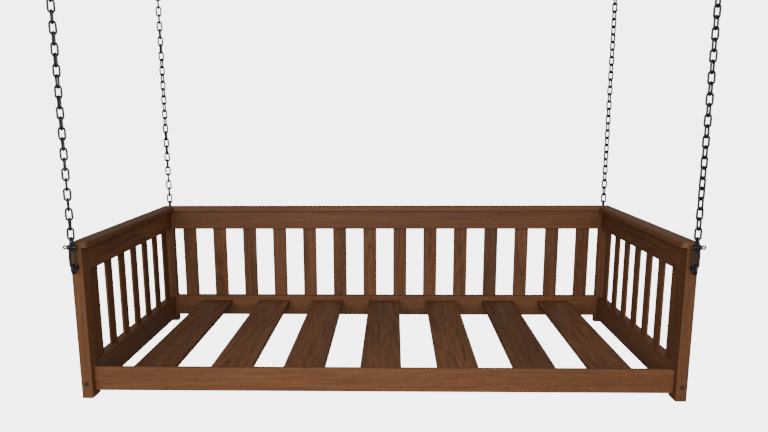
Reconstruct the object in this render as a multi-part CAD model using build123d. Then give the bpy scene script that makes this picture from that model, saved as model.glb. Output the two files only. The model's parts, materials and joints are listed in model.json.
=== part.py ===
# Hanging swing bed: a slatted wooden daybed on four chains under a ceiling.
# X runs along the bed, +Y to its back, +Z up. The origin is on the floor
# plane of the feet, under the middle of the bed's front face.
# The bed hangs in its rest position, with every chain plumb.
import os
from math import cos, radians, sin

from build123d import *

# ---- driving dimensions, mm ----
LENGTH = 2020.0
DEPTH = 1080.0
BOARD_T = 38.0
POST_TOP = 514.0
FRONT_POST_D = 70.0
BACK_POST_D = 38.0
BACK_POST_W = 46.0
EDGE_R = 4.0

CAP_T = 19.0
CAP_W = 56.0
CAP_EDGE_R = 6.0
CAP_NOSE_R = 17.0

TOP_RAIL_Z = 430.0
SIDE_LOW_TOP = 114.0
BACK_LOW_TOP = 119.0
BACK_LOW_Z = 30.0
SIDE_LOW_Z = 17.0
APRON_H = 83.0
APRON_T = 19.0
APRON_Z = 18.0
APRON_Y = 28.0

SLAT_W = 61.0
SLAT_T = 7.5
BACK_SLATS = 14
BACK_PITCH = 137.5
SIDE_SLATS = 7
SIDE_PITCH = 140.0
TENON = 10.0

DECK_W = 139.7
DECK_T = 19.0
DECK_TOP = 98.0
DECK_PITCH = 258.0
DECK_SHIFTS = (-2.5, 4.3, -5.9, -2.7, 1.2, 2.2, -3.5)
HOUSING = 12.0
HOUSING_PLAY = 0.2
CLEAT_T = 25.0
CLEAT_H = 38.0

WIRE_R = 3.5
LINK_HALF_W = 9.5
LINK_PITCH = 31.5
LINK_COUNT = 32
LINK_TWIST = 45.0
PLAY = 0.05

RAIL_BOLT_Z = 50.0
RAIL_BOLT_R = 4.0
SHANK_IN = 55.0

EYE_Z = 449.0
EYE_R = 13.5
EYE_WIRE_R = 4.5
EYE_OUT = 24.0
SHANK_R = 4.5
SHANK_HOLE_R = 4.8

PIN_Z = 520.0
PIN_R = 4.0
BOW_R = 9.5
BOW_WIRE_R = 4.0
EAR_HALF = 9.0
HEAD_R = 8.0
HEAD_HALF_T = 2.5

PLATE_R = 32.0
PLATE_T = 5.0
SCREW_HOLE_R = 2.75
SCREW_PCD = 46.0

HALF = LENGTH / 2
INNER = HALF - BOARD_T
BACK_INNER = HALF - BACK_POST_W
BACK_POST_Y = DEPTH - BACK_POST_D
APRON_BACK = APRON_Y + APRON_T
SLAT_BOTTOM = SIDE_LOW_TOP - TENON
SLAT_TOP = TOP_RAIL_Z + TENON


def box(x0, x1, y0, y1, z0, z1):
    """A box between two corners."""
    size = (x1 - x0, y1 - y0, z1 - z0)
    centre = ((x0 + x1) / 2, (y0 + y1) / 2, (z0 + z1) / 2)
    return Pos(*centre) * Box(*size)


def rod(start, end, radius):
    """A round bar from one point to another."""
    path = Vector(*end) - Vector(*start)
    plane = Plane(origin=start, z_dir=path)
    return extrude(plane * Circle(radius), path.length)


def eased(shape, axis, radius):
    """The shape with its edges along one axis rounded."""
    return fillet(shape.edges().filter_by(axis), radius)


def save(shape, name):
    export_step(shape, "parts/" + name + ".step")


# ---- frame of the bed ----
def post(side, front):
    """One corner post with the holes of its eye bolt and rail bolt."""
    inner = INNER if front else BACK_INNER
    x0, x1 = sorted((side * inner, side * HALF))
    y0 = 0.0 if front else BACK_POST_Y
    y1 = FRONT_POST_D if front else DEPTH
    body = eased(box(x0, x1, y0, y1, 0, POST_TOP), Axis.Z, EDGE_R)
    centre = side * (INNER + HALF) / 2
    for height, radius in ((EYE_Z, SHANK_HOLE_R), (RAIL_BOLT_Z, RAIL_BOLT_R + 0.2)):
        body -= rod((centre, y0 - 1, height), (centre, y1 + 1, height), radius)
    return body


def side_rail(side, low):
    """A rail between the front and the back post of one side."""
    x0, x1 = sorted((side * INNER, side * HALF))
    z0, z1 = rail_heights(low, (SIDE_LOW_Z, SIDE_LOW_TOP))
    body = box(x0, x1, FRONT_POST_D, BACK_POST_Y, z0, z1)
    body = eased(body, Axis.Y, 2.5)
    centre = side * (INNER + HALF) / 2
    height = RAIL_BOLT_Z if low else EYE_Z
    radius = RAIL_BOLT_R + 0.2 if low else SHANK_HOLE_R
    for end, inward in ((FRONT_POST_D, 1), (BACK_POST_Y, -1)):
        start = (centre, end - inward, height)
        stop = (centre, end + inward * (SHANK_IN + 5), height)
        body -= rod(start, stop, radius)
    for y0 in side_slat_fronts():
        body -= slat_pocket_side(side, y0, low)
    return body


def side_slat_fronts():
    """Front edge of every slat of a side, from front to back."""
    middle = (FRONT_POST_D + BACK_POST_Y) / 2
    first = middle - ((SIDE_SLATS - 1) * SIDE_PITCH + SLAT_W) / 2
    return [first + i * SIDE_PITCH for i in range(SIDE_SLATS)]


def back_slat_lefts():
    """Left edge of every slat of the back."""
    first = -((BACK_SLATS - 1) * BACK_PITCH + SLAT_W) / 2
    return [first + i * BACK_PITCH for i in range(BACK_SLATS)]


def rail_heights(low, low_span):
    """Bottom and top of a low or a top rail."""
    return low_span if low else (TOP_RAIL_Z, POST_TOP)


def slat_span(low, low_top):
    """Height range of the slat pockets in a low or a top rail."""
    if low:
        return SLAT_BOTTOM, low_top + 1
    return TOP_RAIL_Z - 1, SLAT_TOP


def slat_pocket_side(side, y0, low):
    mid = side * (HALF - BOARD_T / 2)
    low_z, high_z = slat_span(low, SIDE_LOW_TOP)
    half = SLAT_T / 2
    return box(mid - half, mid + half, y0, y0 + SLAT_W, low_z, high_z)


def back_rail(low):
    """A rail between the two back posts."""
    z0, z1 = rail_heights(low, (BACK_LOW_Z, BACK_LOW_TOP))
    body = box(-BACK_INNER, BACK_INNER, BACK_POST_Y, DEPTH, z0, z1)
    body = eased(body, Axis.X, 2.5)
    low_z, high_z = slat_span(low, BACK_LOW_TOP)
    mid = DEPTH - BACK_POST_D / 2
    for x0 in back_slat_lefts():
        y0, y1 = mid - SLAT_T / 2, mid + SLAT_T / 2
        body -= box(x0, x0 + SLAT_W, y0, y1, low_z, high_z)
    if low:
        for x0 in deck_lefts():
            body -= deck_housing(x0)
    return body


def back_slat(x0):
    mid = DEPTH - BACK_POST_D / 2
    y0, y1 = mid - SLAT_T / 2, mid + SLAT_T / 2
    body = box(x0, x0 + SLAT_W, y0, y1, SLAT_BOTTOM, SLAT_TOP)
    return eased(body, Axis.Z, 1.0)


def side_slat(side, y0):
    mid = side * (HALF - BOARD_T / 2)
    half = SLAT_T / 2
    body = box(mid - half, mid + half, y0, y0 + SLAT_W, SLAT_BOTTOM, SLAT_TOP)
    return eased(body, Axis.Z, 1.0)


def front_rail():
    """The board across the front, set back between the front posts."""
    z1 = APRON_Z + APRON_H
    body = box(-INNER, INNER, APRON_Y, APRON_BACK, APRON_Z, z1)
    return eased(body, Axis.X, 4.0)


def side_cap(side):
    """The cap along the top of one side, mitred into the back cap."""
    outer = side * HALF
    inner = side * (HALF - CAP_W)
    outline = Polyline(
        (outer, 0), (inner, 0), (inner, DEPTH - CAP_W), (outer, DEPTH), close=True
    )
    body = Pos(0, 0, POST_TOP) * extrude(make_face(outline), CAP_T, dir=(0, 0, 1))
    corners = body.edges().filter_by(Axis.Z).sort_by(Axis.Y)[:2]
    corners = corners.sort_by(lambda edge: abs(edge.center().X))
    body = fillet(corners[0], CAP_NOSE_R)
    top_edges = body.faces().sort_by(Axis.Z)[-1].edges()
    eased_edges = [e for e in top_edges if e.center().Y < DEPTH - CAP_W]
    return fillet(eased_edges, CAP_EDGE_R)


def back_cap():
    """The cap along the top of the back, mitred at both ends."""
    inner = HALF - CAP_W
    outline = Polyline(
        (-HALF, DEPTH), (-inner, DEPTH - CAP_W), (inner, DEPTH - CAP_W), (HALF, DEPTH),
        close=True,
    )
    body = Pos(0, 0, POST_TOP) * extrude(make_face(outline), CAP_T, dir=(0, 0, 1))
    long_edges = body.edges().filter_by(Axis.X).sort_by(Axis.Z)[-2:]
    return fillet(long_edges, CAP_EDGE_R)


# ---- deck ----
def deck_lefts():
    """Left edge of every deck board."""
    first = -((len(DECK_SHIFTS) - 1) * DECK_PITCH + DECK_W) / 2
    return [first + i * DECK_PITCH + s for i, s in enumerate(DECK_SHIFTS)]


def deck_screw_points():
    """Every deck screw: two at the front end of each board."""
    y = APRON_BACK + CLEAT_T / 2
    insets = (30.0, DECK_W - 30.0)
    return [(x0 + inset, y) for x0 in deck_lefts() for inset in insets]


def deck_housing(x0):
    """The slot in the low back rail for the end of one deck board."""
    back = BACK_POST_Y + HOUSING + HOUSING_PLAY
    low, high = DECK_TOP - DECK_T - HOUSING_PLAY, DECK_TOP + HOUSING_PLAY
    left, right = x0 - HOUSING_PLAY, x0 + DECK_W + HOUSING_PLAY
    return box(left, right, BACK_POST_Y - 1, back, low, high)


def deck_board(x0):
    """A board whose back end is let into the low back rail."""
    z0 = DECK_TOP - DECK_T
    back = BACK_POST_Y + HOUSING
    body = box(x0, x0 + DECK_W, APRON_BACK, back, z0, DECK_TOP)
    body = eased(body, Axis.Y, 2.5)
    for x, y in deck_screw_points():
        if x0 < x < x0 + DECK_W:
            body -= rod((x, y, z0 - 1), (x, y, DECK_TOP + 1), 2.2)
            body -= Pos(x, y, DECK_TOP - 1.5) * Cone(2.2, 4.4, 3.0)
    return body


def cleat():
    """The strip inside the front rail that carries the front ends of the boards."""
    z1 = DECK_TOP - DECK_T
    y1 = APRON_BACK + CLEAT_T
    body = box(-INNER + 5, INNER - 5, APRON_BACK, y1, z1 - CLEAT_H, z1)
    for x, y in deck_screw_points():
        body -= rod((x, y, z1 - 22), (x, y, z1 + 1), 2.1)
    return body


def deck_screw(x, y):
    shank = rod((x, y, DECK_TOP - DECK_T - 20), (x, y, DECK_TOP - 2.5), 2.0)
    head = Pos(x, y, DECK_TOP - 1.75) * Cone(2.0, 3.8, 2.5)
    return shank + head


# ---- bolts ----
def corner_list():
    """Name, side and front-or-back of every corner."""
    return [
        ("front_left", -1, True), ("front_right", 1, True),
        ("back_left", -1, False), ("back_right", 1, False),
    ]


def corner_x(side):
    return side * (INNER + HALF) / 2


def face_y(front):
    return 0.0 if front else DEPTH


def rail_bolt(side, front):
    """A round-headed bolt through a post into the end of the low side rail."""
    x, y = corner_x(side), face_y(front)
    out = -1 if front else 1
    depth = FRONT_POST_D if front else BACK_POST_D
    end = y - out * (depth + SHANK_IN)
    shank = rod((x, y, RAIL_BOLT_Z), (x, end, RAIL_BOLT_Z), RAIL_BOLT_R)
    head = Pos(x, y, RAIL_BOLT_Z) * Rot(90 if front else -90, 0, 0) * Cylinder(
        7.0, 3.5, align=(Align.CENTER, Align.CENTER, Align.MIN)
    )
    rim = head.edges().sort_by(Axis.Y)[0 if front else -1]
    return shank + fillet(rim, 2.5)


def eye_centre(side, front):
    """Centre of the ring of an eye bolt."""
    return corner_x(side), face_y(front) + (-EYE_OUT if front else EYE_OUT), EYE_Z


def eye_bolt(side, front):
    """A forged eye bolt: ring, collar and shank along Y."""
    x, y, z = eye_centre(side, front)
    out = -1 if front else 1
    depth = FRONT_POST_D if front else BACK_POST_D
    ring = Pos(x, y, z) * Rot(0, 90, 0) * Torus(EYE_R, EYE_WIRE_R)
    face = face_y(front)
    end = face - out * (depth + SHANK_IN)
    neck = rod((x, y - out * EYE_R, z), (x, end, z), SHANK_R)
    collar = rod((x, face + out * 4.0, z), (x, face, z), 8.5)
    return ring + neck + collar


# ---- shackles and chains ----
def bow_bottom():
    """Height of the centre line of the bow where it hangs the eye."""
    return EYE_Z + EYE_R - EYE_WIRE_R - BOW_WIRE_R - PLAY


def shackle_bow(side, front):
    """A bow of round bar in the X-Z plane with an ear at each end."""
    x, y, _ = eye_centre(side, front)
    low = bow_bottom()
    neck_z = PIN_Z - 8.0
    arc_z = low + BOW_R
    path = Wire([
        Spline(
            (-EAR_HALF, 0, neck_z), (-BOW_R, 0, arc_z + 6.0),
            tangents=((0, 0, -1), (0, 0, -1)),
        ),
        Line((-BOW_R, 0, arc_z + 6.0), (-BOW_R, 0, arc_z)),
        ThreePointArc((-BOW_R, 0, arc_z), (0, 0, low), (BOW_R, 0, arc_z)),
        Line((BOW_R, 0, arc_z), (BOW_R, 0, arc_z + 6.0)),
        Spline(
            (BOW_R, 0, arc_z + 6.0), (EAR_HALF, 0, neck_z),
            tangents=((0, 0, 1), (0, 0, 1)),
        ),
    ])
    start = Plane(origin=(-EAR_HALF, 0, neck_z), z_dir=(0, 0, -1))
    body = sweep(start * Circle(BOW_WIRE_R), path=path)
    for end in (-1, 1):
        x0, x1 = end * (EAR_HALF - 3.0), end * (EAR_HALF + 3.5)
        body += rod((x0, 0, PIN_Z), (x1, 0, PIN_Z), 8.5)
    body -= rod((-30, 0, PIN_Z), (30, 0, PIN_Z), PIN_R + 0.1)
    return Pos(x, y, 0) * body


def shackle_pin(side, front):
    """The cross pin, with its flat head pointing away from the bed."""
    x, y, _ = eye_centre(side, front)
    inner = -side * (EAR_HALF + 5.0)
    outer = side * (EAR_HALF + 3.6)
    shank = rod((inner, 0, PIN_Z), (outer, 0, PIN_Z), PIN_R)
    head = rod((outer, 0, PIN_Z), (outer + side * 3.0, 0, PIN_Z), 6.0)
    centre = outer + side * 9.0
    tab = rod((centre, -HEAD_HALF_T, PIN_Z), (centre, HEAD_HALF_T, PIN_Z), HEAD_R)
    tab = fillet(tab.edges().filter_by(GeomType.CIRCLE), 1.5)
    tab -= rod((centre, -HEAD_HALF_T - 1, PIN_Z), (centre, HEAD_HALF_T + 1, PIN_Z), 3.0)
    return Pos(x, y, 0) * (shank + head + tab)


def link(turn, height):
    """One welded link, its long way upright, turned about Z."""
    half = LINK_PITCH / 2 + WIRE_R - LINK_HALF_W
    path = Wire([
        Line((LINK_HALF_W, 0, -half), (LINK_HALF_W, 0, half)),
        ThreePointArc(
            (LINK_HALF_W, 0, half), (0, 0, half + LINK_HALF_W), (-LINK_HALF_W, 0, half)
        ),
        Line((-LINK_HALF_W, 0, half), (-LINK_HALF_W, 0, -half)),
        ThreePointArc(
            (-LINK_HALF_W, 0, -half), (0, 0, -half - LINK_HALF_W), (LINK_HALF_W, 0, -half)
        ),
    ])
    start = Plane(origin=(LINK_HALF_W, 0, -half), z_dir=(0, 0, 1))
    body = sweep(start * Circle(WIRE_R), path=path)
    return Pos(0, 0, height) * Rot(0, 0, turn) * body


def link_height(index):
    """Height of the middle of a link, counted up from the shackle pin."""
    first = PIN_Z - PIN_R - PLAY + LINK_PITCH / 2
    return first + index * (LINK_PITCH - PLAY)


def link_turn(index):
    """Each link is a quarter turn from the last, with a slow wind between."""
    share = index / (LINK_COUNT - 1)
    return 90.0 * (index + 1) + LINK_TWIST * sin(radians(180.0 * share))


def chain(side, front):
    """Every link but the top one, each a solid of its own."""
    x, y, _ = eye_centre(side, front)
    links = [link(link_turn(i), link_height(i)) for i in range(LINK_COUNT - 1)]
    return Compound(children=[Pos(x, y, 0) * item for item in links])


def top_link(side, front):
    """The link that hangs on the staple of the ceiling plate."""
    x, y, _ = eye_centre(side, front)
    index = LINK_COUNT - 1
    return Pos(x, y, 0) * link(link_turn(index), link_height(index))


def staple_z():
    """Height of the centre line of the staple where the top link hangs."""
    return link_height(LINK_COUNT - 1) + LINK_PITCH / 2 - PLAY - BOW_WIRE_R


def hanger(side, front):
    """A round ceiling plate with a welded staple in the Y-Z plane."""
    x, y, _ = eye_centre(side, front)
    low = staple_z()
    plate_z = low + 32.0
    path = Wire([
        Line((0, -10.0, plate_z), (0, -10.0, low + 10.0)),
        ThreePointArc((0, -10.0, low + 10.0), (0, 0, low), (0, 10.0, low + 10.0)),
        Line((0, 10.0, low + 10.0), (0, 10.0, plate_z)),
    ])
    start = Plane(origin=(0, -10.0, plate_z), z_dir=(0, 0, -1))
    body = sweep(start * Circle(BOW_WIRE_R), path=path)
    body += rod((0, 0, plate_z - 0.5), (0, 0, plate_z + PLATE_T), PLATE_R)
    for k in range(4):
        angle = radians(45 + 90 * k)
        px, py = SCREW_PCD / 2 * cos(angle), SCREW_PCD / 2 * sin(angle)
        body -= rod((px, py, plate_z - 2), (px, py, plate_z + PLATE_T + 1), SCREW_HOLE_R)
    return Pos(x, y, 0) * body


# ---- write every node ----
def main():
    os.makedirs("parts", exist_ok=True)
    for name, side, front in corner_list():
        save(post(side, front), "post_" + name)
        save(shackle_bow(side, front), "shackle_bow_" + name)
        save(shackle_pin(side, front), "shackle_pin_" + name)
        save(chain(side, front), "chain_" + name)
        save(top_link(side, front), "top_link_" + name)
    for word, side in (("left", -1), ("right", 1)):
        save(side_rail(side, True), "low_rail_" + word)
        save(side_rail(side, False), "top_rail_" + word)
        save(side_cap(side), "cap_" + word)
        slats = [side_slat(side, y0) for y0 in side_slat_fronts()]
        save(Compound(children=slats), "slats_" + word)
    save(back_rail(True), "low_rail_back")
    save(back_rail(False), "top_rail_back")
    save(back_cap(), "cap_back")
    save(front_rail(), "front_rail")
    save(cleat(), "cleat_front")
    for i, x0 in enumerate(back_slat_lefts()):
        save(back_slat(x0), "back_slat_%02d" % (i + 1))
    for i, x0 in enumerate(deck_lefts()):
        save(deck_board(x0), "deck_board_%d" % (i + 1))
    screws = [deck_screw(x, y) for x, y in deck_screw_points()]
    save(Compound(children=screws), "deck_screws")
    corners = [(side, front) for _, side, front in corner_list()]
    save(Compound(children=[rail_bolt(*c) for c in corners]), "rail_bolts")
    save(Compound(children=[eye_bolt(*c) for c in corners]), "eye_bolts")
    save(Compound(children=[hanger(*c) for c in corners]), "ceiling_hangers")


main()
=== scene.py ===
# A hanging swing bed of stained wood on four black chains, dressed for a still.
# Sizes are in metres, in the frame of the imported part.
import json
import math

import bpy
from mathutils import Matrix, Vector


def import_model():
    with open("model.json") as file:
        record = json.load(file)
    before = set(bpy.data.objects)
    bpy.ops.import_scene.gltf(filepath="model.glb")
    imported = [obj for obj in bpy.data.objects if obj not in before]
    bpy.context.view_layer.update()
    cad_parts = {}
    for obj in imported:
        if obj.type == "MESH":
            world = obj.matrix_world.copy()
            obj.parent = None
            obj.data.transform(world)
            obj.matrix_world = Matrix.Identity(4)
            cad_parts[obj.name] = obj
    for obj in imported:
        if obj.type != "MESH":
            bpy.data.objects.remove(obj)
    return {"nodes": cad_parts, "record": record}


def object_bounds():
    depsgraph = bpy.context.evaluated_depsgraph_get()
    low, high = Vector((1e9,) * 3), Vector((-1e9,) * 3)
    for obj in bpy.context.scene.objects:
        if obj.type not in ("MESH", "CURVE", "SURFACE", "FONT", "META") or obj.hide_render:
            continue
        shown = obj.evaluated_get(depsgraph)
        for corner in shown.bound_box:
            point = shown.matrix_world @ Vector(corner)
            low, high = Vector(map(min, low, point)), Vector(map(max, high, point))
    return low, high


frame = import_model()
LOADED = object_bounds()
RECORD = frame["record"]
NODES = frame["nodes"]

# ---- colours, linear ----
STAIN_LIGHT = (0.172, 0.0665, 0.0245, 1.0)
STAIN_DARK = (0.066, 0.025, 0.011, 1.0)
# painted highlight: rounded wood edges are mixed toward this colour, lighter than the stain,
# as if lit
EDGE_HIGHLIGHT_COLOUR = (0.195, 0.080, 0.033, 1.0)
BLACK_COAT = (0.008, 0.009, 0.012, 1.0)
WORN_BLACK = (0.03, 0.03, 0.035, 1.0)
ZINC = (0.17, 0.165, 0.15, 1.0)
WORN_ZINC = (0.20, 0.17, 0.14, 1.0)
DARK_BOLT = (0.012, 0.011, 0.011, 1.0)
WORN_BOLT = (0.04, 0.03, 0.03, 1.0)

# ---- grain, in turns per metre unless said otherwise ----
RING_STRETCH = 0.10
RING_SCALE = 7.5
RING_COUNT = 26.0
WOBBLE_SCALE = 26.0
WOBBLE_SHARE = 1.1
RING_SHARPNESS = 2.6
RING_FALL = 9.0
FINE_STRETCH = 0.035
PORE_SCALE = 520.0
STREAK_SCALE = 85.0
TONE_SCALE = 9.0
SEED_STEP = 3.17
BOLD_GRAIN = 1.0
CALM_GRAIN = 0.35
RING_DEPTH = 0.62
PALER_LIFT = 1.12
TONE_SPREAD = 0.10

# ---- surfaces ----
WOOD_SPECULAR = 0.25
WOOD_ROUGHNESS = 0.46
WOOD_BUMP = 0.14
WOOD_BUMP_DEPTH = 0.0006
# how strongly the painted edge highlight shows
EDGE_HIGHLIGHT_AMOUNT = 0.45
COAT_PATCH_SCALE = 190.0
COAT_PEEL_SCALE = 900.0
COAT_BUMP = 0.3
COAT_BUMP_DEPTH = 0.0003
SMOOTH_ANGLE = 35

# ---- surround ----
SEEN_WHITE = 5.0
AMBIENT = 0.31
FLOOR_DROP = 0.30
FLOOR_SIZE = 60.0
FLOOR_GREY = (0.30, 0.30, 0.30, 1.0)

# ---- camera ----
CAMERA_AT = (0.041, -2.4725, 0.9217)
CAMERA_YAW = -1.655
CAMERA_PITCH = -12.335
CAMERA_ROLL = 0.243
SENSOR = 36.0
LENS = 36.63
SHIFT_X = 0.0161
SHIFT_Y = 0.0947


# ---- shader helpers ----
def new_group(name, inputs, outputs):
    """An empty shader node group with named sockets."""
    tree = bpy.data.node_groups.new(name, "ShaderNodeTree")
    for label, kind, value in inputs:
        sock = tree.interface.new_socket(label, in_out="INPUT", socket_type=kind)
        sock.default_value = value
    for label, kind in outputs:
        tree.interface.new_socket(label, in_out="OUTPUT", socket_type=kind)
    return tree


class Wiring:
    """Short names for adding and joining nodes in one tree."""

    def __init__(self, tree):
        self.tree = tree

    def node(self, kind, **settings):
        made = self.tree.nodes.new(kind)
        for key, value in settings.items():
            setattr(made, key, value)
        return made

    def join(self, source, target):
        self.tree.links.new(source, target)

    def math(self, operation, a, b=None, clamp=False):
        made = self.node("ShaderNodeMath", operation=operation, use_clamp=clamp)
        for socket, value in zip(made.inputs, (a, b)):
            if value is None:
                continue
            if hasattr(value, "links"):
                self.join(value, socket)
            else:
                socket.default_value = value
        return made.outputs[0]

    def mix(self, amount, a, b, blend="MIX"):
        made = self.node("ShaderNodeMix", data_type="RGBA", blend_type=blend)
        sockets = (made.inputs[0], made.inputs[6], made.inputs[7])
        for socket, value in zip(sockets, (amount, a, b)):
            if hasattr(value, "links"):
                self.join(value, socket)
            else:
                socket.default_value = value
        return made.outputs[2]

    def ramp(self, value, stops):
        made = self.node("ShaderNodeValToRGB")
        ramp = made.color_ramp
        while len(ramp.elements) < len(stops):
            ramp.elements.new(0.5)
        for element, (place, colour) in zip(ramp.elements, stops):
            element.position = place
            element.color = colour
        self.join(value, made.inputs[0])
        return made.outputs[0]

    def noise(self, vector, scale, detail=3.0, rough=0.55):
        made = self.node("ShaderNodeTexNoise")
        made.inputs["Scale"].default_value = scale
        made.inputs["Detail"].default_value = detail
        made.inputs["Roughness"].default_value = rough
        self.join(vector, made.inputs["Vector"])
        return made.outputs["Fac"]


def grey(value):
    """A grey as a colour with full alpha."""
    return (value, value, value, 1.0)


def grain_group():
    """Plain-sawn wood: cathedral rings, streaks, fine pores and slow tone changes.

    The vector's Z runs along the grain.
    """
    tree = new_group(
        "WoodGrain",
        [("Vector", "NodeSocketVector", (0, 0, 0)), ("Seed", "NodeSocketFloat", 0.0)],
        [("Rings", "NodeSocketFloat"), ("Streaks", "NodeSocketFloat"),
         ("Pores", "NodeSocketFloat"), ("Tone", "NodeSocketFloat")],
    )
    w = Wiring(tree)
    inp = w.node("NodeGroupInput")
    out = w.node("NodeGroupOutput")
    offset = w.node("ShaderNodeCombineXYZ")
    w.join(inp.outputs["Seed"], offset.inputs[0])
    w.join(w.math("MULTIPLY", inp.outputs["Seed"], 0.61), offset.inputs[1])
    w.join(w.math("MULTIPLY", inp.outputs["Seed"], 1.37), offset.inputs[2])
    place = w.node("ShaderNodeVectorMath", operation="ADD")
    w.join(inp.outputs["Vector"], place.inputs[0])
    w.join(offset.outputs[0], place.inputs[1])
    long_way = w.node("ShaderNodeMapping")
    long_way.inputs["Scale"].default_value = (1.0, 1.0, RING_STRETCH)
    w.join(place.outputs[0], long_way.inputs["Vector"])
    field = w.noise(long_way.outputs[0], RING_SCALE, 1.5, 0.45)
    wobble = w.noise(long_way.outputs[0], WOBBLE_SCALE, 2.0, 0.5)
    turns = w.math("MULTIPLY", field, RING_COUNT)
    phase = w.math("ADD", turns, w.math("MULTIPLY", wobble, WOBBLE_SHARE))
    wave = w.math("FRACT", phase)
    late = w.math("POWER", wave, RING_SHARPNESS)
    fall = w.math("MULTIPLY", w.math("SUBTRACT", 1.0, wave), RING_FALL, clamp=True)
    rings = w.math("MULTIPLY", late, fall)
    w.join(rings, out.inputs["Rings"])
    fine = w.node("ShaderNodeMapping")
    fine.inputs["Scale"].default_value = (1.0, 1.0, FINE_STRETCH)
    w.join(place.outputs[0], fine.inputs["Vector"])
    pores = w.noise(fine.outputs[0], PORE_SCALE, 2.0, 0.6)
    w.join(pores, out.inputs["Pores"])
    streaks = w.noise(fine.outputs[0], STREAK_SCALE, 3.0, 0.6)
    w.join(streaks, out.inputs["Streaks"])
    slow = w.noise(long_way.outputs[0], TONE_SCALE, 3.0, 0.5)
    w.join(slow, out.inputs["Tone"])
    return tree


def edge_highlight_group():
    """Finds rounded edges by comparing the plain and the widened normal, so a painted
    highlight can be laid along them.
    """
    tree = new_group(
        "EdgeHighlight", [("Radius", "NodeSocketFloat", 0.004)], [("EdgeLight", "NodeSocketFloat")]
    )
    w = Wiring(tree)
    inp = w.node("NodeGroupInput")
    out = w.node("NodeGroupOutput")
    bevel = w.node("ShaderNodeBevel", samples=4)
    w.join(inp.outputs["Radius"], bevel.inputs["Radius"])
    plain = w.node("ShaderNodeNewGeometry")
    dot = w.node("ShaderNodeVectorMath", operation="DOT_PRODUCT")
    w.join(bevel.outputs[0], dot.inputs[0])
    w.join(plain.outputs["Normal"], dot.inputs[1])
    painted_edge_light = w.math("MULTIPLY", w.math("SUBTRACT", 1.0, dot.outputs["Value"]), 4.0, clamp=True)
    w.join(painted_edge_light, out.inputs["EdgeLight"])
    return tree


GRAIN = grain_group()
EDGE_HIGHLIGHT_GROUP = edge_highlight_group()


def wood(name, along, seed, light, dark, strength):
    """Stained wood with its grain along X, Y or Z."""
    mat = bpy.data.materials.new(name)
    mat.use_nodes = True
    w = Wiring(mat.node_tree)
    shader = mat.node_tree.nodes["Principled BSDF"]
    coords = w.node("ShaderNodeTexCoord")
    turn = w.node("ShaderNodeMapping")
    turns = {"X": (0.0, math.pi / 2, 0.0), "Y": (math.pi / 2, 0.0, 0.0), "Z": (0.0, 0.0, 0.0)}
    turn.inputs["Rotation"].default_value = turns[along]
    w.join(coords.outputs["Object"], turn.inputs["Vector"])
    grain = w.node("ShaderNodeGroup")
    grain.node_tree = GRAIN
    w.join(turn.outputs[0], grain.inputs["Vector"])
    grain.inputs["Seed"].default_value = seed
    painted_edge_light = w.node("ShaderNodeGroup")
    painted_edge_light.node_tree = EDGE_HIGHLIGHT_GROUP
    rings = w.math("MULTIPLY", grain.outputs["Rings"], RING_DEPTH * strength)
    base = w.mix(rings, light, dark)
    streaks = w.ramp(grain.outputs["Streaks"], [(0.34, grey(0.66)), (0.60, grey(1.14))])
    base = w.mix(0.25 + 0.6 * strength, base, streaks, "MULTIPLY")
    pores = w.ramp(grain.outputs["Pores"], [(0.30, grey(0.62)), (0.55, grey(1.0))])
    base = w.mix(0.7, base, pores, "MULTIPLY")
    tone = w.ramp(grain.outputs["Tone"], [(0.25, grey(0.80)), (0.75, grey(1.16))])
    base = w.mix(1.0, base, tone, "MULTIPLY")
    # Painted highlight: rounded edges are mixed toward a lighter colour, as if light caught
    # them.
    base = w.mix(w.math("MULTIPLY", painted_edge_light.outputs["EdgeLight"], EDGE_HIGHLIGHT_AMOUNT), base, EDGE_HIGHLIGHT_COLOUR)
    w.join(base, shader.inputs["Base Color"])
    rough = w.math("ADD", w.math("MULTIPLY", grain.outputs["Pores"], 0.18), WOOD_ROUGHNESS)
    w.join(rough, shader.inputs["Roughness"])
    shader.inputs["Specular IOR Level"].default_value = WOOD_SPECULAR
    height = w.math("SUBTRACT", w.math("MULTIPLY", grain.outputs["Pores"], 0.6), rings)
    bump = w.node("ShaderNodeBump")
    bump.inputs["Strength"].default_value = WOOD_BUMP
    bump.inputs["Distance"].default_value = WOOD_BUMP_DEPTH
    w.join(height, bump.inputs["Height"])
    w.join(bump.outputs[0], shader.inputs["Normal"])
    return mat


def metal(name, colour, metallic, roughness, worn):
    """Coated or plated steel with a slight orange-peel surface and worn patches."""
    mat = bpy.data.materials.new(name)
    mat.use_nodes = True
    w = Wiring(mat.node_tree)
    shader = mat.node_tree.nodes["Principled BSDF"]
    coords = w.node("ShaderNodeTexCoord")
    patch = w.noise(coords.outputs["Object"], COAT_PATCH_SCALE, 4.0, 0.6)
    peel = w.noise(coords.outputs["Object"], COAT_PEEL_SCALE, 2.0, 0.5)
    mask = w.ramp(patch, [(0.52, grey(0.0)), (0.72, grey(1.0))])
    base = w.mix(w.math("MULTIPLY", mask, 0.5), colour, worn)
    w.join(base, shader.inputs["Base Color"])
    shader.inputs["Metallic"].default_value = metallic
    rough = w.math("ADD", w.math("MULTIPLY", patch, 0.25), roughness)
    w.join(rough, shader.inputs["Roughness"])
    bump = w.node("ShaderNodeBump")
    bump.inputs["Strength"].default_value = COAT_BUMP
    bump.inputs["Distance"].default_value = COAT_BUMP_DEPTH
    w.join(peel, bump.inputs["Height"])
    w.join(bump.outputs[0], shader.inputs["Normal"])
    return mat


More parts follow.
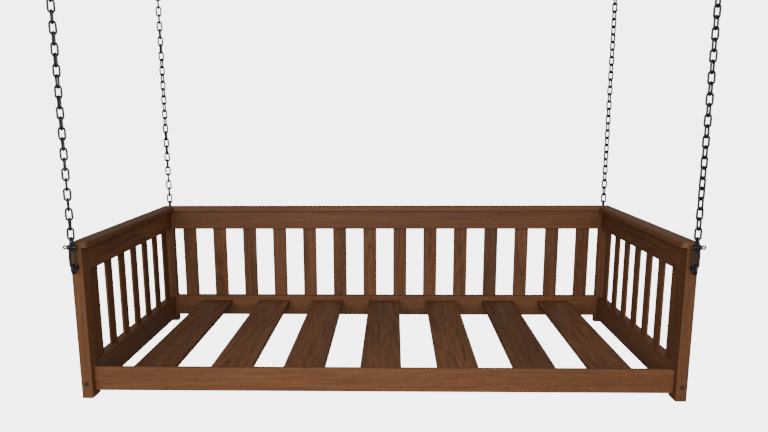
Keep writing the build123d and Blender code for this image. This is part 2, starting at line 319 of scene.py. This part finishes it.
# ---- which way each piece's grain runs, and how strong it shows ----
ALONG_X = ("low_rail_back", "top_rail_back", "cap_back", "front_rail", "cleat_front")
ALONG_Y = ("deck_board", "low_rail_left", "low_rail_right", "top_rail_left", "top_rail_right",
           "cap_left", "cap_right")
STRONG = ("deck_board", "back_slat", "top_rail_left", "top_rail_right")
PALER = ("deck_board", "top_rail_left", "top_rail_right", "low_rail_back")


def grain_way(node):
    """The axis that a piece's grain runs along."""
    if node.startswith(ALONG_X):
        return "X"
    if node.startswith(ALONG_Y):
        return "Y"
    return "Z"


def paint(obj, mat):
    """Puts one material on a whole object."""
    obj.data.materials.clear()
    obj.data.materials.append(mat)


def dress_wood():
    """A wood material of its own for every wooden piece, so no two match."""
    for index, node in enumerate(sorted(NODES)):
        if SLOT_OF[node] != "stained_wood":
            continue
        way = grain_way(node)
        strength = BOLD_GRAIN if node.startswith(STRONG) else CALM_GRAIN
        lift = 1.0 + TONE_SPREAD * math.sin(index * 2.4)
        if node.startswith(PALER):
            lift *= PALER_LIFT
        light = tuple(c * lift for c in STAIN_LIGHT[:3]) + (1.0,)
        mat = wood("wood_" + node, way, index * SEED_STEP, light, STAIN_DARK, strength)
        paint(NODES[node], mat)


SLOT_OF = {s["node"]: s["material_slot"] for s in RECORD["subparts"]}
dress_wood()
METALS = {
    "black_steel": metal("black_coat", BLACK_COAT, 0.0, 0.32, WORN_BLACK),
    "zinc_steel": metal("dull_zinc", ZINC, 0.9, 0.40, WORN_ZINC),
    "dark_bolt": metal("dark_bolt", DARK_BOLT, 0.0, 0.42, WORN_BOLT),
}
for node, slot_name in SLOT_OF.items():
    if slot_name in METALS:
        paint(NODES[node], METALS[slot_name])


def soften(obj, angle):
    """Smooth faces across gentle angles, so bars and rounded edges read round."""
    mesh = obj.data
    for poly in mesh.polygons:
        poly.use_smooth = True
    mesh.set_sharp_from_angle(angle=math.radians(angle))


for node in NODES:
    soften(NODES[node], SMOOTH_ANGLE)


# ---- floor, light and camera ----
def floor_and_backdrop():
    """A plain pale floor far below the hanging bed, and a pale surround."""
    low = LOADED[0].z - FLOOR_DROP
    bpy.ops.mesh.primitive_plane_add(size=FLOOR_SIZE, location=(0, 0, low))
    floor = bpy.context.object
    floor.name = "floor"
    mat = bpy.data.materials.new("floor_white")
    mat.use_nodes = True
    w = Wiring(mat.node_tree)
    shader = mat.node_tree.nodes["Principled BSDF"]
    shader.inputs["Base Color"].default_value = FLOOR_GREY
    shader.inputs["Roughness"].default_value = 0.9
    shader.inputs["Emission Color"].default_value = (1, 1, 1, 1)
    path = w.node("ShaderNodeLightPath")
    glow = w.math("MULTIPLY", path.outputs["Is Camera Ray"], SEEN_WHITE)
    w.join(glow, shader.inputs["Emission Strength"])
    paint(floor, mat)


def world(strength):
    """A pale surround that lights the bed softly and shows brighter than it lights."""
    made = bpy.data.worlds.new("pale")
    made.use_nodes = True
    w = Wiring(made.node_tree)
    back = made.node_tree.nodes["Background"]
    back.inputs["Color"].default_value = (1, 1, 1, 1)
    path = w.node("ShaderNodeLightPath")
    extra = w.math("MULTIPLY", path.outputs["Is Camera Ray"], SEEN_WHITE - strength)
    w.join(w.math("ADD", extra, strength), back.inputs["Strength"])
    bpy.context.scene.world = made


def area_light(name, place, target, size, power):
    """A soft rectangular lamp at a place, aimed at a target."""
    data = bpy.data.lights.new(name, "AREA")
    data.shape = "RECTANGLE"
    data.size, data.size_y = size
    data.energy = power
    lamp = bpy.data.objects.new(name, data)
    lamp.location = place
    aim = Vector(target) - Vector(place)
    lamp.rotation_mode = "QUATERNION"
    lamp.rotation_quaternion = aim.to_track_quat("-Z", "Y")
    bpy.context.scene.collection.objects.link(lamp)


def camera():
    """The camera, from its place, three angles, lens and shifts."""
    data = bpy.data.cameras.new("view")
    data.sensor_width = SENSOR
    data.lens = LENS
    data.shift_x = SHIFT_X
    data.shift_y = SHIFT_Y
    data.clip_end = 200.0
    cam = bpy.data.objects.new("view", data)
    yaw, pitch = math.radians(CAMERA_YAW), math.radians(CAMERA_PITCH)
    ahead = Vector((
        math.sin(yaw) * math.cos(pitch), math.cos(yaw) * math.cos(pitch), math.sin(pitch)
    ))
    right = Vector((math.cos(yaw), -math.sin(yaw), 0.0))
    up = right.cross(ahead)
    turn = Matrix.Rotation(math.radians(CAMERA_ROLL), 3, ahead)
    axes = Matrix((turn @ right, turn @ up, -ahead)).transposed()
    cam.matrix_world = Matrix.Translation(CAMERA_AT) @ axes.to_4x4()
    bpy.context.scene.collection.objects.link(cam)
    bpy.context.scene.camera = cam


floor_and_backdrop()
world(AMBIENT)
area_light("front", (-0.4, -3.4, 1.4), (0, 0.4, 0.3), (4.5, 2.0), 160.0)
area_light("above", (0.0, 0.4, 4.6), (0, 0.5, 0.2), (4.0, 3.0), 10.0)
camera()
